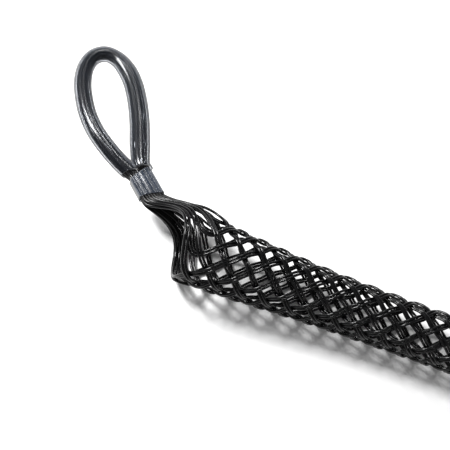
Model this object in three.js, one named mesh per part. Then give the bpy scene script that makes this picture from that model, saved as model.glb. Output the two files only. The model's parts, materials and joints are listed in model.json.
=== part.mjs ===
import * as THREE from 'three';

// Wire and strands. Every strand of the weave is a pair of coated wires lying side by side. A wire
// is a square bar here, a little slimmer than the real round one, so that its corners touch nothing.
const wireFlat = 2;
const pairPitch = 2.6;
const strandsEachWay = 8;

// Weave. A strand keeps its length from crossing to crossing, so rows stretch as the sleeve narrows.
const crossingLength = 14.7;
const weaveDepth = 1.95;
const weaveRows = 24;
const firstRowX = 30.5;
const mouthRadius = 29.4;
const tailRadius = 23.3;
const taperX = 88;
const taperLength = 28;
const weaveTurn = -15;
const mouthSlant = 16;
const slantRows = 12;
const tailBendRadius = 4.6;

// Neck, where all the strands leave the weave and gather at one side of the mouth.
const neckHeight = 35;
const neckX = -38;
const neckBulge = 6.5;
const neckBulgeX = 14;
const neckBulgeLength = 24;
const neckSteps = 5;
const gatherX = -5;
const gatherLength = 17;
const gatherPitch = 4.6;
const gatherGap = 1.2;
const collarPull = 0.45;
const entryLead = 0.6;
const innerLead = 2;
const gatherWidth = 28;
const gatherSlope = 0.75;
const turnedPull = 1.15;
const straightPull = 0.9;
const collarBlend = [0.35, 0.65, 0.88];

// Collar that holds the 4 layers of 8 wires together.
const layerPitch = 2.6;
const outerLayerSqueeze = 0.93;
const squeezeRun = 12;
const collarLength = 26;
const collarAngle = 44;
const collarWall = 1;
const collarCorner = 1.9;
const wireClearance = 0.4;

// Eye, the loop that the pulling line is hooked to, 16 wires in a tube of their own.
const eyeLean = 8.5;
const eyeSleeveBore = 14.1;
const eyeSleeveWall = 0.8;
const eyeSleeveStart = 13;
const eyeSleeveEnd = 16;
const wireJoint = 0.35;
const eyeSteps = 24;
const straightStation = 22;
const bendStation = 0.35;
const floorGap = 0.3;

// Route of the eye's middle line past the collar, as distance along the eye and to its open side.
const eyeRoute = [
  [9, 4.3], [30, 10], [56, 18], [82, 24], [106, 27.8], [124, 28.4], [138, 24], [145.4, 14],
  [142, 2.6], [130, -8], [113, -18.6], [94, -25], [74, -27], [54, -25.2], [35, -20], [18, -13.4],
];

const radians = THREE.MathUtils.degToRad;
const step = 2 * Math.PI / strandsEachWay;
const layers = [-1.5, -0.5, 0.5, 1.5];
const columns = [-3.5, -2.5, -1.5, -0.5, 0.5, 1.5, 2.5, 3.5];

// From collar coordinates, along it and across its columns, to the eye's plane.
const collarDirection = [-Math.cos(radians(collarAngle)), Math.sin(radians(collarAngle))];
const eyeAngle = radians(collarAngle + eyeLean);

function collarPlane(along, across) {
  const [dx, dy] = collarDirection;
  return [along * dx + across * dy, along * dy - across * dx];
}

function eyePlane(along, across) {
  const [x, y] = collarPlane(collarLength, 0);
  const c = Math.cos(eyeAngle);
  const s = Math.sin(eyeAngle);
  return [x - along * c + across * s, y + along * s + across * c];
}

// Middle line of the eye's bundle of wires, out of one half of the collar and into the other.
const middle = [-4, 2.5].map((along) => collarPlane(collarLength + along, 2 * layerPitch));
middle.push(...eyeRoute.map(([along, across]) => eyePlane(along, across)));
middle.push(...[2.5, -4].map((along) => collarPlane(collarLength + along, -2 * layerPitch)));
const eyeCurve = new THREE.CatmullRomCurve3(middle.map(([x, y]) => new THREE.Vector3(x, y, 0)));
const eyeLength = eyeCurve.getLength();

// Stations along the part of the eye that its sleeve covers, closer together where it bends.
const sleeveFrom = eyeSleeveStart / eyeLength;
const sleeveTo = 1 - eyeSleeveEnd / eyeLength;
const fine = 400;
const fineU = Array.from({ length: fine + 1 }, (_, n) => sleeveFrom + (sleeveTo - sleeveFrom) * n / fine);
const bends = [0];
for (let n = 1; n <= fine; n += 1) {
  const bend = eyeCurve.getTangentAt(fineU[n]).angleTo(eyeCurve.getTangentAt(fineU[n - 1]));
  bends.push(bends[n - 1] + (fineU[n] - fineU[n - 1]) * eyeLength / straightStation + bend / bendStation);
}
const stations = [];
for (let k = 0; k <= eyeSteps; k += 1) {
  stations.push(fineU[bends.findIndex((bend) => bend >= bends[fine] * k / eyeSteps - 1e-9)]);
}

// Radius of the middle of the weave, wide at the mouth and slim along the body.
function sleeveRadius(x) {
  return tailRadius + (mouthRadius - tailRadius) / (1 + Math.exp((x - taperX) / taperLength));
}

// The sleeve lies on the ground along its whole underside, so its middle sinks as it narrows.
function axisHeight(x) {
  return sleeveRadius(x) + weaveDepth + wireFlat / 2;
}

// The eye's plane holds the sleeve's middle line, and falls from it until the crown of the eye
// meets the ground. Turns round the sleeve are measured from that plane.
const eyeSleeveOuter = eyeSleeveBore / 2 + eyeSleeveWall;
const reach = neckHeight + Math.max(...eyeCurve.getSpacedPoints(200).map((p) => p.y));
const fall = Math.asin((axisHeight(neckX) - eyeSleeveOuter - floorGap) / reach);

function outward(turn) {
  return new THREE.Vector3(0, Math.cos(turn - fall), Math.sin(turn - fall));
}

function onSleeve(x, turn, r) {
  return outward(turn).multiplyScalar(r).add(new THREE.Vector3(x, 0, axisHeight(x)));
}

const planeOut = outward(0);
const planeUp = outward(Math.PI / 2);

function onPlane(x, y, height) {
  return onSleeve(neckX, 0, neckHeight + y).add(new THREE.Vector3(x, 0, 0))
    .addScaledVector(planeUp, height);
}

function direction(x, y) {
  return new THREE.Vector3(x, 0, 0).addScaledVector(planeOut, y).normalize();
}

// Distance of each row of crossings along the sleeve, before the mouth is slanted.
const rowX = [firstRowX];
for (let row = 0; row <= weaveRows; row += 1) {
  const arc = Math.PI * sleeveRadius(rowX[row]) / strandsEachWay;
  rowX.push(rowX[row] + Math.sqrt(crossingLength ** 2 - arc ** 2));
}

function slanted(row, turn) {
  const fade = Math.max(0, 1 - row / slantRows) ** 2;
  return rowX[row] - mouthSlant * fade * (1 - Math.cos(turn)) / 2;
}

// Loose strands stand out from the sleeve between its mouth and the collar, on the eye's side.
function bulge(x, turn) {
  const nearEye = Math.max(0, Math.cos(turn)) ** 3;
  return neckBulge * nearEye * Math.exp(-(((x - neckBulgeX) / neckBulgeLength) ** 2));
}

// Place of a strand where it crosses a row. Way is 1 for one hand of helix and -1 for the other.
function crossing(way, start, row) {
  const turn = start + way * row * step / 2;
  const over = way * (row % 2 === 0 ? 1 : -1);
  return { x: slanted(row, turn), turn, lift: over * weaveDepth };
}

// Point of one wire of a pair at a crossing, half a pitch towards the tail or the mouth.
function wireAt(way, start, row, side) {
  const here = crossing(way, start, row);
  const next = crossing(way, start, row < weaveRows ? row + 1 : row - 1);
  const run = Math.abs(next.x - here.x);
  const rise = sleeveRadius(here.x) * step / 2;
  const length = Math.hypot(run, rise);
  const x = here.x + side * pairPitch / 2 * rise / length;
  const turn = here.turn - way * side * pairPitch / 2 * run / length / sleeveRadius(here.x);
  return placedAt({ x, turn, r: sleeveRadius(x) + here.lift + bulge(x, turn) });
}

function squeeze(layer) {
  return Math.abs(layer) > 1 ? outerLayerSqueeze : 1;
}

// Place of a wire in the collar. Columns count from the tail side of the collar to its front.
function inCollar(along, column, layer) {
  const [x, y] = collarPlane(along, -column * layerPitch * squeeze(layer));
  return onPlane(x, y, layer * layerPitch);
}

// A square wire through the given points, with one pair of its faces turned towards each up.
function wireGeometry(points) {
  const half = wireFlat / 2;
  const vertices = [];
  points.forEach((point, n) => {
    const before = points[Math.max(n - 1, 0)].at;
    const after = points[Math.min(n + 1, points.length - 1)].at;
    const along = after.clone().sub(before).normalize();
    const side = along.clone().cross(point.up).normalize();
    const up = side.clone().cross(along);
    for (const [a, b] of [[1, 1], [-1, 1], [-1, -1], [1, -1]]) {
      vertices.push(point.at.clone().addScaledVector(side, a * half).addScaledVector(up, b * half));
    }
  });
  const faces = [[0, 1, 2], [0, 2, 3]];
  for (let n = 0; n < points.length - 1; n += 1) {
    for (let k = 0; k < 4; k += 1) {
      const a = 4 * n + k;
      const b = 4 * n + (k + 1) % 4;
      faces.push([a, b + 4, b], [a, a + 4, b + 4]);
    }
  }
  const last = 4 * (points.length - 1);
  faces.push([last, last + 2, last + 1], [last, last + 3, last + 2]);
  return solid(vertices, faces);
}

function solid(vertices, faces) {
  const geometry = new THREE.BufferGeometry().setFromPoints(vertices);
  geometry.setIndex(faces.flat());
  geometry.computeVertexNormals();
  return geometry;
}

// A hollow tube with flat ends. Each ring is a centre with two axes, and the section is a list
// of outer and inner points in those axes.
function tubeGeometry(rings, outer, inner) {
  const count = outer.length;
  const vertices = [];
  for (const { at, side, up } of rings) {
    for (const [a, b] of [...outer, ...inner]) {
      vertices.push(at.clone().addScaledVector(side, a).addScaledVector(up, b));
    }
  }
  const faces = [];
  const quad = (a, b, c, d) => faces.push([a, c, b], [a, d, c]);
  const last = 2 * count * (rings.length - 1);
  for (let k = 0; k < count; k += 1) {
    const next = (k + 1) % count;
    quad(k, count + k, count + next, next);
    quad(last + k, last + next, last + count + next, last + count + k);
    for (let n = 0; n < rings.length - 1; n += 1) {
      const base = 2 * count * n;
      const ahead = base + 2 * count;
      quad(base + k, base + next, ahead + next, ahead + k);
      quad(base + count + next, base + count + k, ahead + count + k, ahead + count + next);
    }
  }
  return solid(vertices, faces);
}

function hermite(a, ta, b, tb, t) {
  const t2 = t * t;
  const t3 = t2 * t;
  return (2 * t3 - 3 * t2 + 1) * a + (t3 - 2 * t2 + t) * ta
    + (3 * t2 - 2 * t3) * b + (t3 - t2) * tb;
}

// Blend of two places on the sleeve, each given by its distance, turn and radius.
function blend(from, leaving, to, arriving, t) {
  const place = {};
  for (const key of Object.keys(from)) {
    place[key] = hermite(from[key], leaving[key], to[key], arriving[key], t);
  }
  return place;
}

function sleevePlace(point) {
  const z = point.z - axisHeight(point.x);
  const turn = Math.atan2(z, point.y) + fall;
  return { x: point.x, turn, r: Math.hypot(point.y, z) };
}

function placedAt({ x, turn, r }) {
  return { at: onSleeve(x, turn, r), up: outward(turn) };
}

// One wire from its first crossing back into the collar. Half is 1 on the near side of the eye
// and -1 on the far side, and rank 0 is the strand nearest to the eye. A strand that is already
// heading for the eye runs straight to it. One of the other hand turns back, a layer below.
function neckPoints(way, start, half, rank, side) {
  const first = crossing(way, start, 0);
  const second = crossing(way, start, 1);
  const turned = way * half < 0;
  const layer = half * (way > 0 ? 1.5 : 0.5);
  const column = columns[2 * rank + ((side > 0) === turned ? 1 : 0)];
  const share = (2 * rank + 0.5) / 7;
  const mouthR = sleeveRadius(0);
  const begin = { x: first.x, turn: first.turn };
  const gather = {
    x: gatherX - gatherLength * share,
    turn: half * (gatherGap + Math.abs(layer) * layerPitch + gatherWidth * share) / mouthR,
  };
  const span = Math.hypot(begin.x - gather.x, (begin.turn - gather.turn) * mouthR);
  const run = Math.hypot(first.x - second.x, (first.turn - second.turn) * mouthR);
  const pull = (turned ? turnedPull : straightPull) * span / run;
  const heading = { x: (first.x - second.x) * pull, turn: (first.turn - second.turn) * pull };
  const slope = gatherSlope * share;
  const leaving = { x: -Math.cos(slope) * span, turn: -half * Math.sin(slope) * span / mouthR };
  const places = [];
  for (let n = 1; n <= neckSteps; n += 1) {
    const t = n / neckSteps;
    const here = blend(begin, heading, gather, leaving, t);
    const ahead = blend(begin, heading, gather, leaving, t + 0.01);
    const alongX = ahead.x - here.x;
    const alongTurn = (ahead.turn - here.turn) * mouthR;
    const spread = way * side * (pairPitch + (gatherPitch - pairPitch) * t) / 2;
    const x = here.x - spread * alongTurn / Math.hypot(alongX, alongTurn);
    const turn = here.turn + spread * alongX / Math.hypot(alongX, alongTurn) / mouthR;
    places.push({ x, turn, r: sleeveRadius(x) + first.lift + bulge(x, turn) });
  }
  const leave = places[neckSteps - 1];
  const lead = -entryLead - (Math.abs(layer) < 1 ? innerLead : 0);
  const entry = inCollar(lead, column, layer);
  const gap = entry.distanceTo(placedAt(leave).at);
  const end = sleevePlace(entry);
  const inside = sleevePlace(inCollar(lead + 1, column, layer));
  const arriving = {};
  for (const key of Object.keys(end)) {
    arriving[key] = (inside[key] - end[key]) * gap * collarPull;
  }
  const onward = { x: leaving.x * gap / span, turn: leaving.turn * gap / span, r: 0 };
  const up = planeUp.clone().multiplyScalar(half);
  const points = places.map(placedAt);
  for (const t of collarBlend) {
    const point = placedAt(blend(leave, onward, end, arriving, t));
    point.up.lerp(up, t).normalize();
    points.push(point);
  }
  points.push({ at: entry, up });
  points.push({ at: inCollar(collarLength / 2 - wireJoint / 2, column, layer), up });
  return points;
}

// Half of the ring and place in it of the strand that starts at a given step from the eye.
function seat(way, index) {
  const position = way > 0 ? index : -index;
  return position > 0 ? { half: way, rank: position - 1 } : { half: -way, rank: -position };
}

// One wire of the weave, down the sleeve with one hand, round the tail and back with the other.
function meshWire(index, side) {
  const down = index > strandsEachWay / 2 ? index - strandsEachWay : index;
  let back = index + weaveRows + 1;
  back = ((back % strandsEachWay) + strandsEachWay) % strandsEachWay;
  back = back > strandsEachWay / 2 - 1 ? back - strandsEachWay : back;
  const points = [];
  const goingDown = seat(1, down);
  const comingBack = seat(-1, back);
  const startDown = down * step + radians(weaveTurn);
  const startBack = back * step + radians(weaveTurn);
  points.push(...neckPoints(1, startDown, goingDown.half, goingDown.rank, side).reverse());
  for (let row = 0; row <= weaveRows; row += 1) {
    points.push(wireAt(1, startDown, row, side));
  }
  points.push(...tailBend(startDown, side));
  for (let row = weaveRows; row >= 0; row -= 1) {
    points.push(wireAt(-1, startBack, row, side));
  }
  points.push(...neckPoints(-1, startBack, comingBack.half, comingBack.rank, side));
  return points;
}

// The turn at the tail, where a strand goes round to come back with the other hand.
function tailBend(start, side) {
  const top = start + (weaveRows + 1) * step / 2;
  const r = sleeveRadius(rowX[weaveRows]);
  const lead = Math.atan2(r * step / 2, rowX[weaveRows + 1] - rowX[weaveRows]);
  const apex = rowX[weaveRows + 1] - tailBendRadius * (1 / Math.sin(lead) - 1);
  const points = [];
  const over = weaveRows % 2 === 0 ? 1 : -1;
  for (const share of [-0.9, -0.45, 0, 0.45, 0.9]) {
    const angle = share * (Math.PI / 2 - lead + Math.PI / 8);
    const reachOut = tailBendRadius + side * pairPitch / 2;
    const x = apex - tailBendRadius + reachOut * Math.cos(angle);
    const turn = top + reachOut * Math.sin(angle) / r;
    const lift = -over * share * weaveDepth * 0.5;
    points.push(placedAt({ x, turn, r: sleeveRadius(x) + lift }));
  }
  return points;
}

// One wire of the eye, from the middle of the collar round the crown and back beside itself.
function eyeWire(column, layer) {
  const points = [];
  const offset = -(column + 2) * layerPitch * squeeze(layer);
  const start = collarLength / 2 + wireJoint / 2;
  points.push({ at: inCollar(start, column, layer), up: planeUp });
  for (const u of [0, sleeveFrom / 2, ...stations, (1 + sleeveTo) / 2, 1]) {
    const centre = eyeCurve.getPointAt(u);
    const tangent = eyeCurve.getTangentAt(u);
    const ends = Math.max(0, 1 - Math.min(u, 1 - u) * eyeLength / squeezeRun);
    const shift = offset + ends * 2 * layerPitch * (squeeze(layer) - 1);
    const x = centre.x + tangent.y * shift;
    const y = centre.y - tangent.x * shift;
    points.push({ at: onPlane(x, y, layer * layerPitch), up: planeUp });
  }
  points.push({ at: inCollar(start, -column, layer), up: planeUp });
  return points;
}

function circle(radius, sides) {
  const ring = [];
  for (let k = 0; k < sides; k += 1) {
    const angle = 2 * Math.PI * k / sides;
    ring.push([radius * Math.cos(angle), radius * Math.sin(angle)]);
  }
  return ring;
}

// A rectangle with rounded corners, drawn anticlockwise with three chords to a corner.
function roundedBox(halfWidth, halfHeight, corner) {
  const ring = [];
  [[1, 1], [-1, 1], [-1, -1], [1, -1]].forEach(([a, b], quarter) => {
    for (let k = 0; k <= 3; k += 1) {
      const angle = Math.PI / 2 * (quarter + k / 3);
      ring.push([
        a * (halfWidth - corner) + corner * Math.cos(angle),
        b * (halfHeight - corner) + corner * Math.sin(angle),
      ]);
    }
  });
  return ring;
}

function eyeSleeveGeometry() {
  const sides = 12;
  const rings = [];
  for (const u of stations) {
    const centre = eyeCurve.getPointAt(u);
    const tangent = eyeCurve.getTangentAt(u);
    const side = direction(tangent.y, -tangent.x);
    rings.push({ at: onPlane(centre.x, centre.y, 0), side, up: planeUp });
  }
  const bore = eyeSleeveBore / 2 / Math.cos(Math.PI / sides);
  return tubeGeometry(rings, circle(eyeSleeveOuter, sides), circle(bore, sides));
}

function collarGeometry() {
  const rings = [0, collarLength].map((along) => {
    const [x, y] = collarPlane(along, 0);
    const side = direction(collarDirection[1], -collarDirection[0]);
    return { at: onPlane(x, y, 0), side, up: planeUp };
  });
  const room = wireFlat / 2 + wireClearance;
  const width = 3.5 * layerPitch + room;
  const height = 1.5 * layerPitch + room;
  const outer = roundedBox(width + collarWall, height + collarWall, collarCorner + collarWall);
  return tubeGeometry(rings, outer, roundedBox(width, height, collarCorner));
}

const coatedWire = new THREE.MeshStandardMaterial({ color: 0x17181a, roughness: 0.32, metalness: 0 });
const clearPlastic = new THREE.MeshStandardMaterial({
  color: 0xc9d0d4, roughness: 0.15, metalness: 0, transparent: true, opacity: 0.35,
});

const grip = new THREE.Group();

function addPiece(name, geometry, material) {
  const piece = new THREE.Mesh(geometry, material);
  piece.name = name;
  grip.add(piece);
}

for (let index = 0; index < strandsEachWay; index += 1) {
  for (const side of [1, -1]) {
    const name = `mesh_wire_${index + 1}${side > 0 ? 'a' : 'b'}`;
    addPiece(name, wireGeometry(meshWire(index, side)), coatedWire);
  }
}
for (const column of columns.slice(0, 4)) {
  for (const layer of layers) {
    const name = `eye_wire_${column + 4.5}_${layer + 2.5}`;
    addPiece(name, wireGeometry(eyeWire(column, layer)), coatedWire);
  }
}
addPiece('eye_sleeve', eyeSleeveGeometry(), clearPlastic);
addPiece('collar_sleeve', collarGeometry(), clearPlastic);

// The origin is the middle of the ground that the grip covers.
const box = new THREE.Box3().setFromObject(grip);
grip.position.set(-(box.min.x + box.max.x) / 2, -(box.min.y + box.max.y) / 2, -box.min.z);

const part = new THREE.Group();
part.add(grip);

export default part;
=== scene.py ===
import json
import math

import bmesh
import bpy
from mathutils import Matrix, Vector

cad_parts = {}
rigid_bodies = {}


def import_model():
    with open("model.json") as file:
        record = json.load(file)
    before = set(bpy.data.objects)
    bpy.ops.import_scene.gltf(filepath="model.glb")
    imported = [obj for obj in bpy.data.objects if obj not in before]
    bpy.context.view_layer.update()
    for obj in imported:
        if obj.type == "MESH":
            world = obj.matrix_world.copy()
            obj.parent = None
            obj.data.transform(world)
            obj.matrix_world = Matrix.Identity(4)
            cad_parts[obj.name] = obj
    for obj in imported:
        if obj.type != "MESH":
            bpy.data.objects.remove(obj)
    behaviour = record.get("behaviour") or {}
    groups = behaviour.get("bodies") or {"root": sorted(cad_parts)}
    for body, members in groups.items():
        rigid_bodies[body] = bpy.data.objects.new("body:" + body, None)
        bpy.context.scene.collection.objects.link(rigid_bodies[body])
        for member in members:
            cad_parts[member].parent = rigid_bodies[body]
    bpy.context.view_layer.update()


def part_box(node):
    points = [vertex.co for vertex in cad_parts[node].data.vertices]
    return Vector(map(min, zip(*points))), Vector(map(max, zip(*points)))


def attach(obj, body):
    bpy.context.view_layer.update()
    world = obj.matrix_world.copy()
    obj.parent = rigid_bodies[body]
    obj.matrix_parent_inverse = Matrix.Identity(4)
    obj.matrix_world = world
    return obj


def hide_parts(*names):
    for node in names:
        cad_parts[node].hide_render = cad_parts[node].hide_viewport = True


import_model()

# Camera. It looks down on the grip over its near side, level with the collar, and is placed from
# the middle of the collar, in metres.
CAMERA_OFFSET = Vector((0.04625, -0.21155, 0.50805))
CAMERA_LENS = 48
CAMERA_TILT = math.radians(68)
CAMERA_YAW = math.radians(20)
CAMERA_ROLL = math.radians(3.5)


def middle_of(node):
    low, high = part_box(node)
    return (Vector(low) + Vector(high)) / 2


def camera_axes():
    """A matrix whose rows are the world's X, Y and Z as the camera sees them."""
    swing = CAMERA_YAW + math.asin(math.tan(CAMERA_ROLL) * math.tan(CAMERA_TILT))
    x = Vector((
        math.cos(CAMERA_ROLL) * math.cos(CAMERA_YAW),
        -math.cos(CAMERA_ROLL) * math.sin(CAMERA_YAW),
        -math.sin(CAMERA_ROLL),
    ))
    z = Vector((
        math.cos(CAMERA_TILT) * math.sin(swing),
        math.cos(CAMERA_TILT) * math.cos(swing),
        math.sin(CAMERA_TILT),
    ))
    return Matrix((x, z.cross(x), z))


camera = bpy.data.objects.new("camera", bpy.data.cameras.new("camera"))
bpy.context.collection.objects.link(camera)
camera.data.sensor_width = 36
camera.data.lens = CAMERA_LENS
camera.data.clip_start = 0.02
camera.data.clip_end = 20
CAMERA_AXES = camera_axes()
camera_place = middle_of("collar_sleeve") + CAMERA_OFFSET
camera.matrix_world = Matrix.Translation(camera_place) @ CAMERA_AXES.to_4x4()
bpy.context.scene.camera = camera

# Mesh wires. 16 steel strands in a glossy black coating, in pairs, 8 pairs with each hand, woven
# over one and under one. At the mouth they gather at one side and run into the collar.
# Lengths are in millimetres, x along the sleeve from its mouth, until a mesh is made.
WIRE_RADIUS = 1.2
PAIR_PITCH = 2.6
STRANDS = 8
STEP = 2 * math.pi / STRANDS
CROSSING_LENGTH = 14.7
WEAVE_LIFT = 1.45
WEAVE_OUT = 0.3
WEAVE_DEPTH = 1.95
WIRE_HALF = 1
ROWS = 24
FIRST_ROW = 30.5
MOUTH_RADIUS = 29.4
TAIL_RADIUS = 23.3
TAPER_X = 88
TAPER_LENGTH = 28
WEAVE_TURN = math.radians(-15)
MOUTH_SLANT = 16
SLANT_ROWS = 12
TAIL_BEND = 4.6
TAIL_OVERLAP = math.pi / 8
TAIL_SAMPLES = 10
ROW_SAMPLES = 10
ROW_AHEAD = 0.02
SMOOTH_ROUNDS = 2
WIRE_SIDES = 12

NECK_HEIGHT = 35
NECK_X = -38
NECK_BULGE = 10
BULGE_X = 10
BULGE_LENGTH = 24
NECK_SAMPLES = 18
NECK_AHEAD = 0.01
GATHER_X = 0
GATHER_LENGTH = 4
GATHER_PITCH = 3.6
GATHER_GAP = 1.2
GATHER_WIDTH = 28
GATHER_SLOPE = 1.15
COLLAR_PULL = 0.45
ENTRY_LEAD = 0.6
INNER_LEAD = 2
TURNED_PULL = 1.15
STRAIGHT_PULL = 0.9

LAYER_PITCH = 2.6
OUTER_LAYER = 1.5
INNER_LAYER = 0.5
LAST_COLUMN = 3.5
OUTER_SQUEEZE = 0.93
COLLAR_LENGTH = 26
COLLAR_CROWN = 0.25
COLLAR_SAMPLES = 5
COLLAR_ANGLE = math.radians(44)
EYE_LEAN = math.radians(8.5)
EYE_OUTER = 7.85
FLOOR_GAP = 0.3
EYE_COLUMN = 2
EYE_ENTRY = (-4, 2.5)
EYE_SAMPLES = 24
EYE_ROUTE = [
    (9, 4.3), (30, 10), (56, 18), (82, 23.8), (104, 26.2), (121, 24.8), (134.5, 20), (143, 11),
    (142, -1.2), (132, -12.3), (114, -21), (94, -25.4), (74, -27), (54, -25.2), (35, -20),
    (18, -13.4),
]


def hermite(a, leaving, b, arriving, t):
    """A smooth way from a to b, with the slope at each."""
    return ((2 * t**3 - 3 * t**2 + 1) * a + (t**3 - 2 * t**2 + t) * leaving
            + (3 * t**2 - 2 * t**3) * b + (t**3 - t**2) * arriving)


def collar_plane(along, across):
    """A place in the flat plane of the collar and the eye, from where the wires enter the collar."""
    dx, dy = -math.cos(COLLAR_ANGLE), math.sin(COLLAR_ANGLE)
    return Vector((along * dx + across * dy, along * dy - across * dx))


def eye_plane(along, across):
    """A place in the same plane, along and across the leaning eye."""
    start = collar_plane(COLLAR_LENGTH, 0)
    c, s = math.cos(COLLAR_ANGLE + EYE_LEAN), math.sin(COLLAR_ANGLE + EYE_LEAN)
    return Vector((start.x - along * c + across * s, start.y + along * s + across * c))


def through(points, samples):
    """A centripetal Catmull-Rom curve through the points, as a list of fine points."""
    first = 2 * points[0] - points[1]
    last = 2 * points[-1] - points[-2]
    whole = [first, *points, last]
    fine = []
    for n in range(1, len(whole) - 2):
        a, b, c, d = whole[n - 1:n + 3]
        ab, bc, cd = (math.sqrt((q - p).length) for p, q in ((a, b), (b, c), (c, d)))
        leaving = ((b - a) / ab - (c - a) / (ab + bc) + (c - b) / bc) * bc
        arriving = ((c - b) / bc - (d - b) / (bc + cd) + (d - c) / cd) * bc
        fine += [hermite(b, leaving, c, arriving, k / samples) for k in range(samples)]
    fine.append(points[-1])
    return fine


def eye_line():
    side = EYE_COLUMN * LAYER_PITCH
    start = [collar_plane(COLLAR_LENGTH + along, side) for along in EYE_ENTRY]
    route = [eye_plane(along, across) for along, across in EYE_ROUTE]
    back = [collar_plane(COLLAR_LENGTH + along, -side) for along in reversed(EYE_ENTRY)]
    return through(start + route + back, EYE_SAMPLES)


def sleeve_radius(x):
    return TAIL_RADIUS + (MOUTH_RADIUS - TAIL_RADIUS) / (1 + math.exp((x - TAPER_X) / TAPER_LENGTH))


def axis_height(x):
    """The height at which the weave's underside rests on the ground."""
    return sleeve_radius(x) + WEAVE_DEPTH + WIRE_HALF


EYE_LINE = eye_line()
EYE_REACH = NECK_HEIGHT + max(point.y for point in EYE_LINE)
FALL = math.asin((axis_height(NECK_X) - EYE_OUTER - FLOOR_GAP) / EYE_REACH)


def outward(turn):
    """Away from the sleeve's middle line. The eye's plane falls, so that its crown rests too."""
    return Vector((0, math.cos(turn - FALL), math.sin(turn - FALL)))


def on_sleeve(x, turn, radius):
    return Vector((x, 0, axis_height(x))) + outward(turn) * radius


PLANE_UP = outward(math.pi / 2)


def on_plane(x, y, height):
    return on_sleeve(NECK_X, 0, NECK_HEIGHT + y) + Vector((x, 0, 0)) + PLANE_UP * height


def squeeze(layer):
    """The two outer layers in the collar are a little narrower than the inner ones."""
    return OUTER_SQUEEZE if abs(layer) > 1 else 1


def in_collar(along, column, layer):
    place = collar_plane(along, -column * LAYER_PITCH * squeeze(layer))
    crown = 1 + COLLAR_CROWN * (1 - (column / LAST_COLUMN)**2)
    return on_plane(place.x, place.y, layer * LAYER_PITCH * crown)


def row_places():
    places = [FIRST_ROW]
    for _ in range(ROWS + 1):
        arc = math.pi * sleeve_radius(places[-1]) / STRANDS
        places.append(places[-1] + math.sqrt(CROSSING_LENGTH**2 - arc**2))
    return places


ROW_X = row_places()


def along_rows(row):
    """Distance along the sleeve at a part row, smooth from row to row."""
    n = min(max(int(row), 0), ROWS)
    before = ROW_X[n] - ROW_X[n - 1] if n > 0 else ROW_X[1] - ROW_X[0]
    after = ROW_X[n + 2] - ROW_X[n + 1] if n < ROWS else ROW_X[n + 1] - ROW_X[n]
    here = ROW_X[n + 1] - ROW_X[n]
    return hermite(ROW_X[n], (before + here) / 2, ROW_X[n + 1], (here + after) / 2, row - n)


def strand_place(way, start, row):
    """Distance, turn and lift of a strand's middle line at a part row."""
    turn = start + way * row * STEP / 2
    fade = max(0, 1 - row / SLANT_ROWS)**2
    x = along_rows(row) - MOUTH_SLANT * fade * (1 - math.cos(turn)) / 2
    wave = math.cos(math.pi * row)
    return x, turn, way * WEAVE_LIFT * wave * (3 - wave * wave) / 2


def bulge(x, turn):
    """The strands stand out loosely on the eye's side, between the mouth and the collar."""
    near_eye = max(0, math.cos(turn))**3
    return NECK_BULGE * near_eye * math.exp(-((x - BULGE_X) / BULGE_LENGTH)**2)


def weave_point(way, start, row, side):
    """A point of one of the two wires of a strand, beside the strand's middle line."""
    x, turn, lift = strand_place(way, start, row)
    ahead_x, ahead_turn, _ = strand_place(way, start, row + ROW_AHEAD)
    run = ahead_x - x
    rise = abs(ahead_turn - turn) * sleeve_radius(x)
    length = math.hypot(run, rise)
    x += side * PAIR_PITCH / 2 * rise / length
    turn -= way * side * PAIR_PITCH / 2 * run / length / sleeve_radius(x)
    return on_sleeve(x, turn, sleeve_radius(x) + WEAVE_OUT + lift + bulge(x, turn))


def sleeve_place(point):
    """Distance, turn and radius of a point, the reverse of on_sleeve."""
    z = point.z - axis_height(point.x)
    return point.x, math.atan2(z, point.y) + FALL, math.hypot(point.y, z)


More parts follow.
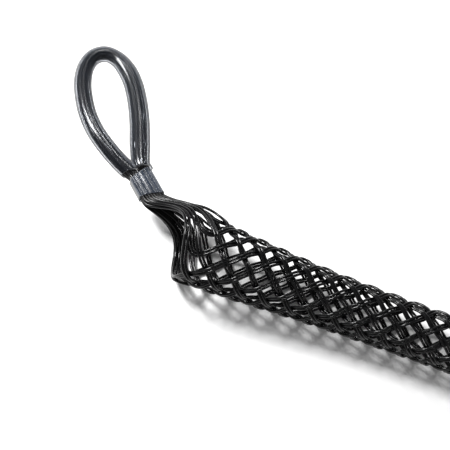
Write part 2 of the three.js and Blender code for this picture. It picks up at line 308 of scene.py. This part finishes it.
def neck_points(way, start, half, rank, side):
    """One wire from its first crossing into the collar."""
    first_x, first_turn, first_lift = strand_place(way, start, 0)
    second_x, second_turn, _ = strand_place(way, start, 1)
    turned = way * half < 0
    layer = half * (OUTER_LAYER if way > 0 else INNER_LAYER)
    column = 2 * rank - LAST_COLUMN + (1 if (side > 0) == turned else 0)
    share = (2 * rank + 0.5) / (2 * LAST_COLUMN)
    mouth = sleeve_radius(0)
    gather_x = GATHER_X - GATHER_LENGTH * share
    gather_turn = half * (GATHER_GAP + abs(layer) * LAYER_PITCH + GATHER_WIDTH * share) / mouth
    span = math.hypot(first_x - gather_x, (first_turn - gather_turn) * mouth)
    run = math.hypot(first_x - second_x, (first_turn - second_turn) * mouth)
    pull = (TURNED_PULL if turned else STRAIGHT_PULL) * span / run
    heading = ((first_x - second_x) * pull, (first_turn - second_turn) * pull)
    slope = GATHER_SLOPE * share
    leaving = (-math.cos(slope) * span, -half * math.sin(slope) * span / mouth)

    def strand(t):
        return (hermite(first_x, heading[0], gather_x, leaving[0], t),
                hermite(first_turn, heading[1], gather_turn, leaving[1], t))

    points = []
    for n in range(1, NECK_SAMPLES + 1):
        t = n / NECK_SAMPLES
        x, turn = strand(t)
        ahead_x, ahead_turn = strand(t + NECK_AHEAD)
        along_x = ahead_x - x
        along_turn = (ahead_turn - turn) * mouth
        length = math.hypot(along_x, along_turn)
        spread = way * side * (PAIR_PITCH + (GATHER_PITCH - PAIR_PITCH) * t) / 2
        x -= spread * along_turn / length
        turn += spread * along_x / length / mouth
        radius = sleeve_radius(x) + WEAVE_OUT + first_lift + bulge(x, turn)
        points.append((x, turn, radius))
    leave = points[-1]
    lead = -ENTRY_LEAD - (INNER_LEAD if abs(layer) < 1 else 0)
    entry = in_collar(lead, column, layer)
    gap = (entry - on_sleeve(*leave)).length
    end = sleeve_place(entry)
    inside = sleeve_place(in_collar(lead + 1, column, layer))
    arriving = [(b - a) * gap * COLLAR_PULL for a, b in zip(end, inside)]
    onward = [leaving[0] * gap / span, leaving[1] * gap / span, 0]
    route = [on_sleeve(*point) for point in points]
    for n in range(1, NECK_SAMPLES + 1):
        t = n / NECK_SAMPLES
        route.append(on_sleeve(*(hermite(a, ta, b, tb, t)
                                 for a, ta, b, tb in zip(leave, onward, end, arriving))))
    for n in range(1, COLLAR_SAMPLES + 1):
        along = lead + (COLLAR_LENGTH / 2 - lead) * n / COLLAR_SAMPLES
        route.append(in_collar(along, column, layer))
    return route


def seat(way, index):
    """Half of the ring, and place in it, of the strand that starts a step from the eye."""
    position = index if way > 0 else -index
    return (way, position - 1) if position > 0 else (-way, -position)


def tail_points(start, side):
    """One wire's turn at the tail, from the last crossing of one hand to that of the other."""
    top = start + (ROWS + 1) * STEP / 2
    radius = sleeve_radius(ROW_X[ROWS])
    lead = math.atan2(radius * STEP / 2, ROW_X[ROWS + 1] - ROW_X[ROWS])
    middle = ROW_X[ROWS + 1] - TAIL_BEND / math.sin(lead)
    sweep = math.pi / 2 - lead + TAIL_OVERLAP
    reach = TAIL_BEND + side * PAIR_PITCH / 2
    points = []
    for n in range(1 - TAIL_SAMPLES, TAIL_SAMPLES):
        share = n / TAIL_SAMPLES
        x = middle + reach * math.cos(share * sweep)
        turn = top + reach * math.sin(share * sweep) / radius
        lift = -share * WEAVE_LIFT / 2
        points.append(on_sleeve(x, turn, sleeve_radius(x) + WEAVE_OUT + lift))
    return points


def mesh_wire(index, side):
    """A whole wire: down the sleeve with one hand, round the tail and back with the other."""
    down = index - STRANDS if index > STRANDS / 2 else index
    up_again = (index + ROWS + 1) % STRANDS
    up_again = up_again - STRANDS if up_again > STRANDS / 2 - 1 else up_again
    start_down = down * STEP + WEAVE_TURN
    start_back = up_again * STEP + WEAVE_TURN
    points = neck_points(1, start_down, *seat(1, down), side)[::-1]
    rows = [n / ROW_SAMPLES for n in range(ROWS * ROW_SAMPLES + 1)]
    points += [weave_point(1, start_down, row, side) for row in rows]
    points += tail_points(start_down, side)
    points += [weave_point(-1, start_back, row, side) for row in reversed(rows)]
    points += neck_points(-1, start_back, *seat(-1, up_again), side)
    return points


SHIFT = middle_of("collar_sleeve") * 1000 - in_collar(COLLAR_LENGTH / 2, 0, 0)


def placed(point):
    return (point + SHIFT) / 1000


def smoothed(points, rounds):
    for _ in range(rounds):
        inner = [(a + 2 * b + c) / 4 for a, b, c in zip(points, points[1:], points[2:])]
        points = [points[0], *inner, points[-1]]
    return points


def wire_mesh(name, points, radius, sides):
    """A round wire along the points, with a map of length and turn for the lay of its strands."""
    sheet = bmesh.new()
    lay = sheet.loops.layers.uv.new("lay")
    tangents = [(b - a).normalized() for a, b in zip(points, points[1:])]
    tangents.append(tangents[-1])
    side = tangents[0].orthogonal().normalized()
    rings = []
    gone = 0
    for n, point in enumerate(points):
        ahead = (tangents[max(n - 1, 0)] + tangents[n]).normalized()
        side = (side - ahead * side.dot(ahead)).normalized()
        across = ahead.cross(side)
        if n > 0:
            gone += (point - points[n - 1]).length
        ring = []
        for k in range(sides):
            angle = 2 * math.pi * k / sides
            place = point + (side * math.cos(angle) + across * math.sin(angle)) * radius
            ring.append(sheet.verts.new(placed(place)))
        rings.append((gone, ring))
    for (near, a), (far, b) in zip(rings, rings[1:]):
        for k in range(sides):
            m = (k + 1) % sides
            face = sheet.faces.new((a[k], a[m], b[m], b[k]))
            face.smooth = True
            turns = (k / sides, (k + 1) / sides, (k + 1) / sides, k / sides)
            for loop, u, v in zip(face.loops, (near, near, far, far), turns):
                loop[lay].uv = (u, v)
    sheet.faces.new(rings[0][1][::-1])
    sheet.faces.new(rings[-1][1])
    mesh = bpy.data.meshes.new(name)
    sheet.to_mesh(mesh)
    sheet.free()
    piece = bpy.data.objects.new(name, mesh)
    bpy.context.collection.objects.link(piece)
    return piece


class Value:
    """A shader socket on which maths can be written as on a number."""

    def __init__(self, finish, socket):
        self.finish = finish
        self.socket = socket

    def maths(self, operation, *terms):
        sockets = dict(enumerate(terms))
        return self.finish.node("ShaderNodeMath", {"operation": operation}, sockets)

    def __add__(self, other):
        return self.maths("ADD", self, other)

    def __radd__(self, other):
        return self.maths("ADD", other, self)

    def __mul__(self, other):
        return self.maths("MULTIPLY", self, other)

    def __rmul__(self, other):
        return self.maths("MULTIPLY", other, self)

    def __pow__(self, other):
        return self.maths("POWER", self, other)

    def sine(self):
        return self.maths("SINE", self)

    def part(self, key):
        """Another output of the same node."""
        return Value(self.finish, self.socket.node.outputs[key])


class Finish:
    """A material whose nodes are all made by one method."""

    def __init__(self, name):
        self.material = bpy.data.materials.new(name)
        self.material.use_nodes = True
        self.tree = self.material.node_tree
        self.tree.nodes.clear()

    def node(self, kind, settings, sockets, output=0):
        made = self.tree.nodes.new(kind)
        stops = settings.pop("stops", None)
        for key, value in settings.items():
            setattr(made, key, value)
        if stops:
            ramp = made.color_ramp.elements
            for element, (at, colour) in zip((ramp[0], ramp[1]), stops):
                element.position, element.color = at, colour
            for at, colour in stops[2:]:
                ramp.new(at).color = colour
        for key, value in sockets.items():
            if isinstance(value, Value):
                self.tree.links.new(value.socket, made.inputs[key])
            else:
                made.inputs[key].default_value = value
        return Value(self, made.outputs[output])

    def surface(self, shader):
        output = self.tree.nodes.new("ShaderNodeOutputMaterial")
        self.tree.links.new(shader.socket, output.inputs["Surface"])
        return self.material


WIRE_LAY = 6.5
LAY_STRANDS = 6


def coated_wire_finish():
    """A glossy black coating, through which the lay of the steel strands hardly shows."""
    coat = Finish("coated_wire")
    lay = coat.node("ShaderNodeUVMap", {"uv_map": "lay"}, {})
    split = coat.node("ShaderNodeSeparateXYZ", {}, {0: lay})
    wind = split * (2 * math.pi / WIRE_LAY) + split.part("Y") * (2 * math.pi * LAY_STRANDS)
    strands = (wind.sine() + 1) * 0.5
    place = coat.node("ShaderNodeTexCoord", {}, {}, "Object")
    scuffs = coat.node("ShaderNodeTexNoise", {}, {"Vector": place, "Scale": 160, "Detail": 5})
    colour = coat.node(
        "ShaderNodeValToRGB",
        {"stops": [(0.35, (0.002, 0.002, 0.0023, 1)), (0.75, (0.005, 0.005, 0.0055, 1))]},
        {0: scuffs},
    )
    bump = coat.node(
        "ShaderNodeBump", {}, {"Strength": 0.015, "Distance": 0.0001, "Height": strands})
    shader = coat.node("ShaderNodeBsdfPrincipled", {}, {
        "Base Color": colour,
        "Roughness": scuffs * 0.08 + 0.13,
        "Normal": bump,
        "Specular IOR Level": 0.22,
    })
    return coat.surface(shader)


COATED_WIRE = coated_wire_finish()


def wire_piece(node, points):
    piece = wire_mesh(node + "_round", smoothed(points, SMOOTH_ROUNDS), WIRE_RADIUS, WIRE_SIDES)
    piece.data.materials.append(COATED_WIRE)
    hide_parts(node)
    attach(piece, "root")


for index in range(STRANDS):
    for side, letter in ((1, "a"), (-1, "b")):
        wire_piece(f"mesh_wire_{index + 1}{letter}", mesh_wire(index, side))

# Eye wires. The same wires as in the weave, out of one half of the collar, round the crown of the
# eye and back into its other half, 4 beside and 4 above each other.
SQUEEZE_RUN = 12
ROUND_RUN = 16
RING_RADIUS = 5.9
RING_STEP = math.pi / 6
CORE_RADIUS = 2.3
EYE_TWIST = math.radians(60)
LEG_RISE = 1.5
RISE_START = 4
RISE_RUN = 60
EYE_LIFT = 0.6
LIFT_RUN = 8
GIRTH = 1.1
GIRTH_CHANGES = [(8, 30, 0.17), (120, 35, -0.25), (165, 40, 0.08)]
STATION_SPACING = 1.6
COLLAR_PLACES = (0, 3, 6)


def stations(points, spacing):
    """Evenly spaced points along a fine line, with the direction and distance at each."""
    lengths = [0]
    for a, b in zip(points, points[1:]):
        lengths.append(lengths[-1] + (b - a).length)
    count = round(lengths[-1] / spacing)
    found = []
    n = 0
    for k in range(count + 1):
        distance = lengths[-1] * k / count
        while n < len(points) - 2 and lengths[n + 1] < distance:
            n += 1
        share = (distance - lengths[n]) / (lengths[n + 1] - lengths[n])
        ahead = (points[min(n + 2, len(points) - 1)] - points[max(n - 1, 0)]).normalized()
        found.append((points[n].lerp(points[n + 1], share), ahead, distance))
    return found, lengths[-1]


EYE_STATIONS, EYE_LENGTH = stations(EYE_LINE, STATION_SPACING)


def smooth(share):
    share = min(max(share, 0), 1)
    return share * share * (3 - 2 * share)


def bundle_place(column, layer):
    """Place of a wire in the round bundle: 12 in a ring, and 4 within it."""
    angle = math.atan2(layer, column)
    if max(abs(column), abs(layer)) < 1:
        return CORE_RADIUS * math.cos(angle), CORE_RADIUS * math.sin(angle)
    angle = RING_STEP * (math.floor(angle / RING_STEP) + 0.5)
    return RING_RADIUS * math.cos(angle), RING_RADIUS * math.sin(angle)


def girth(distance):
    """How much wider than high the eye is: most in its near leg, and least past the crown."""
    return GIRTH + sum(
        change * smooth((distance - start) / run) for start, run, change in GIRTH_CHANGES)


def rise(distance):
    """Near the collar the near leg lies a little above the far one."""
    near = 1 - smooth((distance - RISE_START) / RISE_RUN)
    far = 1 - smooth((EYE_LENGTH - distance - RISE_START) / RISE_RUN)
    clear_of_collar = smooth(min(distance, EYE_LENGTH - distance) / LIFT_RUN)
    return (LEG_RISE * (near - far) + EYE_LIFT) * clear_of_collar


def eye_wire(column, layer):
    """One wire, from the square of 4 by 4 in its half of the collar into the round bundle."""
    across = -(column + EYE_COLUMN)
    square = across * LAYER_PITCH * squeeze(layer), layer * LAYER_PITCH
    ring = bundle_place(across, layer)
    middle = COLLAR_LENGTH / 2
    points = [in_collar(middle + along, column, layer) for along in COLLAR_PLACES]
    for centre, ahead, distance in EYE_STATIONS:
        ends = max(0, 1 - min(distance, EYE_LENGTH - distance) / SQUEEZE_RUN)
        boxed = square[0] + ends * EYE_COLUMN * LAYER_PITCH * (squeeze(layer) - 1)
        share = smooth(min(distance, EYE_LENGTH - distance) / ROUND_RUN)
        twist = EYE_TWIST * math.sin(math.pi * distance / EYE_LENGTH)
        turned_a = ring[0] * math.cos(twist) - ring[1] * math.sin(twist)
        turned_b = ring[0] * math.sin(twist) + ring[1] * math.cos(twist)
        a = (boxed * (1 - share) + turned_a * share) * (1 + (girth(distance) - 1) * share)
        b = square[1] * (1 - share) + turned_b * share + rise(distance)
        points.append(on_plane(centre.x + ahead.y * a, centre.y - ahead.x * a, b))
    points += [in_collar(middle + along, -column, layer) for along in reversed(COLLAR_PLACES)]
    return points


for column in range(4):
    for layer in range(4):
        points = eye_wire(column - LAST_COLUMN, layer - OUTER_LAYER)
        wire_piece(f"eye_wire_{column + 1}_{layer + 1}", points)

# Eye sleeve. A clear soft plastic tube pushed over the eye's wires before the loop is closed. It
# guards them from the hook, and ends just above the collar.
EYE_BORE = 7.15
TUBE_SIDES = 40
SLEEVE_START = 7.5
SLEEVE_END = EYE_LENGTH - 9
START_SLANT = 3
END_SLANT = -4
CUT_FADE = 12
RING_SPACING = 1.5


def tube_mesh(name, rings):
    """A hollow tube with flat ends, from rings of outer and inner points."""
    sheet = bmesh.new()
    count = len(rings[0][0])
    loops = [[[sheet.verts.new(placed(point)) for point in ring] for ring in pair] for pair in rings]
    for k in range(count):
        m = (k + 1) % count
        for near, far in zip(loops, loops[1:]):
            for a, b in zip(near, far):
                sheet.faces.new((a[k], a[m], b[m], b[k])).smooth = True
        for outer, inner in (loops[0], loops[-1]):
            sheet.faces.new((outer[k], outer[m], inner[m], inner[k]))
    bmesh.ops.recalc_face_normals(sheet, faces=sheet.faces)
    mesh = bpy.data.meshes.new(name)
    sheet.to_mesh(mesh)
    sheet.free()
    piece = bpy.data.objects.new(name, mesh)
    bpy.context.collection.objects.link(piece)
    return piece


# Milkiness face-on and edge-on. The edge-on part, with its lighter colour below, is partly a painted
# sheen along the rims.
FACE_MILK = 0.11
RIM_MILK_AND_SHEEN = 12


def clear_finish(name, haze, rough):
    """Clear plastic with a gloss, slightly milky, and milkier where it is seen edge-on. Edge-on it
    is also painted a lighter, warmer grey: a painted sheen along the rims.
    """
    clear = Finish(name)
    place = clear.node("ShaderNodeTexCoord", {}, {}, "Object")
    cloud = clear.node("ShaderNodeTexNoise", {}, {"Vector": place, "Scale": 90, "Detail": 1})
    ripple = clear.node("ShaderNodeTexNoise", {}, {"Vector": place, "Scale": 130, "Detail": 2})
    bump = clear.node(
        "ShaderNodeBump", {}, {"Strength": 0.05, "Distance": 0.0003, "Height": ripple})
    through_it = clear.node("ShaderNodeBsdfTransparent", {}, {"Color": (0.93, 0.94, 0.96, 1)})
    gloss = clear.node(
        "ShaderNodeBsdfAnisotropic", {}, {"Roughness": rough, "Normal": bump})
    edge = clear.node("ShaderNodeFresnel", {}, {"IOR": 1.2, "Normal": bump})
    skin = clear.node("ShaderNodeMixShader", {}, {0: edge, 1: through_it, 2: gloss})
    facing = clear.node("ShaderNodeLayerWeight", {}, {"Blend": 0.5}, "Facing")
    # Painted rim sheen: the haze colour is dark blue face-on and a lighter warm grey edge-on.
    colour = clear.node(
        "ShaderNodeValToRGB",
        {"stops": [(0.3, (0.05, 0.065, 0.095, 1)), (0.9, (0.16, 0.155, 0.145, 1))]},
        {0: facing},
    )
    milk_and_rim_sheen = clear.node(
        "ShaderNodeBsdfPrincipled", {}, {"Base Color": colour, "Roughness": 0.4})
    body = (cloud * 0.6 + 0.7) * (facing ** 4 * RIM_MILK_AND_SHEEN + FACE_MILK) * haze
    return clear.surface(clear.node("ShaderNodeMixShader", {}, {0: body, 1: skin, 2: milk_and_rim_sheen}))


def eye_at(distance):
    """Centre and direction of the eye's middle line at a distance."""
    place = distance / EYE_LENGTH * (len(EYE_STATIONS) - 1)
    n = min(max(int(place), 0), len(EYE_STATIONS) - 2)
    (a, along_a, _), (b, along_b, _) = EYE_STATIONS[n:n + 2]
    return a.lerp(b, place - n), along_a.lerp(along_b, place - n).normalized()


def eye_ring(distance, radius):
    """A ring of the eye's sleeve. Its ends are cut a little aslant, towards the collar outside."""
    from_start = max(0, 1 - (distance - SLEEVE_START) / CUT_FADE)
    from_end = max(0, 1 - (SLEEVE_END - distance) / CUT_FADE)
    ring = []
    for k in range(TUBE_SIDES):
        angle = 2 * math.pi * k / TUBE_SIDES
        a, b = math.cos(angle), math.sin(angle)
        centre, ahead = eye_at(distance + a * (from_end * END_SLANT - from_start * START_SLANT))
        across = a * radius * girth(distance)
        ring.append(on_plane(
            centre.x + ahead.y * across, centre.y - ahead.x * across, b * radius + rise(distance)))
    return ring


sleeve_count = round((SLEEVE_END - SLEEVE_START) / RING_SPACING)
eye_rings = []
for n in range(sleeve_count + 1):
    distance = SLEEVE_START + (SLEEVE_END - SLEEVE_START) * n / sleeve_count
    eye_rings.append((eye_ring(distance, EYE_OUTER), eye_ring(distance, EYE_BORE)))
eye_sleeve = tube_mesh("eye_sleeve_clear", eye_rings)
eye_sleeve.data.materials.append(clear_finish("clear_tube", 0.22, 0.16))
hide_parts("eye_sleeve")
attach(eye_sleeve, "root")

# Collar sleeve. Clear plastic, a little milky, shrunk over the 4 layers of 8 wires where the eye
# closes. Its ends are cut aslant, longer on the outer side of the bend.
COLLAR_WALL = 0.9
COLLAR_CORNER = 1.9
COLLAR_ROOM = 1.3
COLLAR_START = 1.2
COLLAR_START_SLANT = -2.4
COLLAR_END_SLANT = 3
COLLAR_RINGS = 20
RIB_DEPTH = 0.5
RIB_CHORDS = 56


def rib(a, half_width):
    """The shrunk sleeve shows the columns of wires as low ribs, fading out at its corners."""
    fade = smooth((half_width - COLLAR_CORNER - abs(a)) / LAYER_PITCH)
    return RIB_DEPTH * fade * (math.cos(math.pi * a / LAYER_PITCH) - 1) / 2


def rounded_box(half_width, half_height, corner, chords=6):
    """A flat section with round corners, whose two broad faces are ribbed."""
    ring = []
    for quarter, (a, b) in enumerate(((1, 1), (-1, 1), (-1, -1), (1, -1))):
        for k in range(chords + 1):
            angle = math.pi / 2 * (quarter + k / chords)
            ring.append((a * (half_width - corner) + corner * math.cos(angle),
                         b * (half_height - corner) + corner * math.sin(angle)))
        if quarter in (0, 2):
            flat = half_width - corner
            for k in range(1, RIB_CHORDS):
                across = a * flat * (1 - 2 * k / RIB_CHORDS)
                ring.append((across, b * (half_height + rib(across, half_width))))
    return ring


def collar_ring(share, half_width, half_height, corner):
    """A section of the collar, whose ends are cut aslant so that its outer side is longer."""
    ring = []
    for a, b in rounded_box(half_width, half_height, corner):
        slant = a / half_width
        low = COLLAR_START + COLLAR_START_SLANT * slant
        high = COLLAR_LENGTH + COLLAR_END_SLANT * slant
        place = collar_plane(low + (high - low) * share, a)
        crown = 1 + COLLAR_CROWN * (1 - slant * slant)
        ring.append(on_plane(place.x, place.y, b * crown))
    return ring


half_width = LAST_COLUMN * LAYER_PITCH + COLLAR_ROOM
half_height = OUTER_LAYER * LAYER_PITCH + COLLAR_ROOM
collar_rings = []
for n in range(COLLAR_RINGS + 1):
    share = n / COLLAR_RINGS
    outside = collar_ring(
        share, half_width + COLLAR_WALL, half_height + COLLAR_WALL, COLLAR_CORNER + COLLAR_WALL)
    collar_rings.append((outside, collar_ring(share, half_width, half_height, COLLAR_CORNER)))
collar = tube_mesh("collar_sleeve_clear", collar_rings)
collar.data.materials.append(clear_finish("clear_collar", 1.5, 0.12))
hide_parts("collar_sleeve")
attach(collar, "root")

# Floor and lights. A pale sheet under the grip in a soft bright room, with the main light from
# above and behind. The weaker far light is where the eye's wires mirror it towards the camera.
floor_sheet = bmesh.new()
bmesh.ops.create_grid(floor_sheet, x_segments=8, y_segments=8, size=4)
floor_mesh = bpy.data.meshes.new("floor")
floor_sheet.to_mesh(floor_mesh)
floor_sheet.free()
floor = bpy.data.objects.new("floor", floor_mesh)
bpy.context.collection.objects.link(floor)
paper = Finish("floor_paper")
paper_place = paper.node("ShaderNodeTexCoord", {}, {}, "Object")
paper_grain = paper.node("ShaderNodeTexNoise", {}, {"Vector": paper_place, "Scale": 40})
floor.data.materials.append(paper.surface(paper.node("ShaderNodeBsdfPrincipled", {}, {
    "Base Color": (0.9, 0.9, 0.9, 1), "Roughness": paper_grain * 0.1 + 0.5})))

room = bpy.data.worlds.new("room")
bpy.context.scene.world = room
room.use_nodes = True
room.node_tree.nodes["Background"].inputs["Color"].default_value = (1, 1, 1, 1)
room.node_tree.nodes["Background"].inputs["Strength"].default_value = 0.28
bpy.context.scene.view_settings.view_transform = "Standard"


def area_light(name, offset, size, power):
    """A light placed from the collar, in metres to the camera's right, up and back."""
    light = bpy.data.objects.new(name, bpy.data.lights.new(name, "AREA"))
    light.data.shape = "SQUARE"
    light.data.size = size
    light.data.energy = power
    away = CAMERA_AXES @ Vector(offset)
    back = away.normalized()
    side = CAMERA_AXES.col[1].cross(back).normalized()
    turned = Matrix((side, back.cross(side), back)).transposed()
    light.matrix_world = Matrix.Translation(middle_of("collar_sleeve") + away) @ turned.to_4x4()
    bpy.context.collection.objects.link(light)


area_light("key_light", (-0.5, 0.95, 0.85), 0.35, 37)
area_light("far_light", (0.25, 1.25, 0.67), 0.3, 6.5)

# Only the woven sleeve throws a shadow that shows.
for piece in bpy.data.objects:
    if piece.name.startswith(("eye_", "collar_")):
        piece.visible_shadow = False
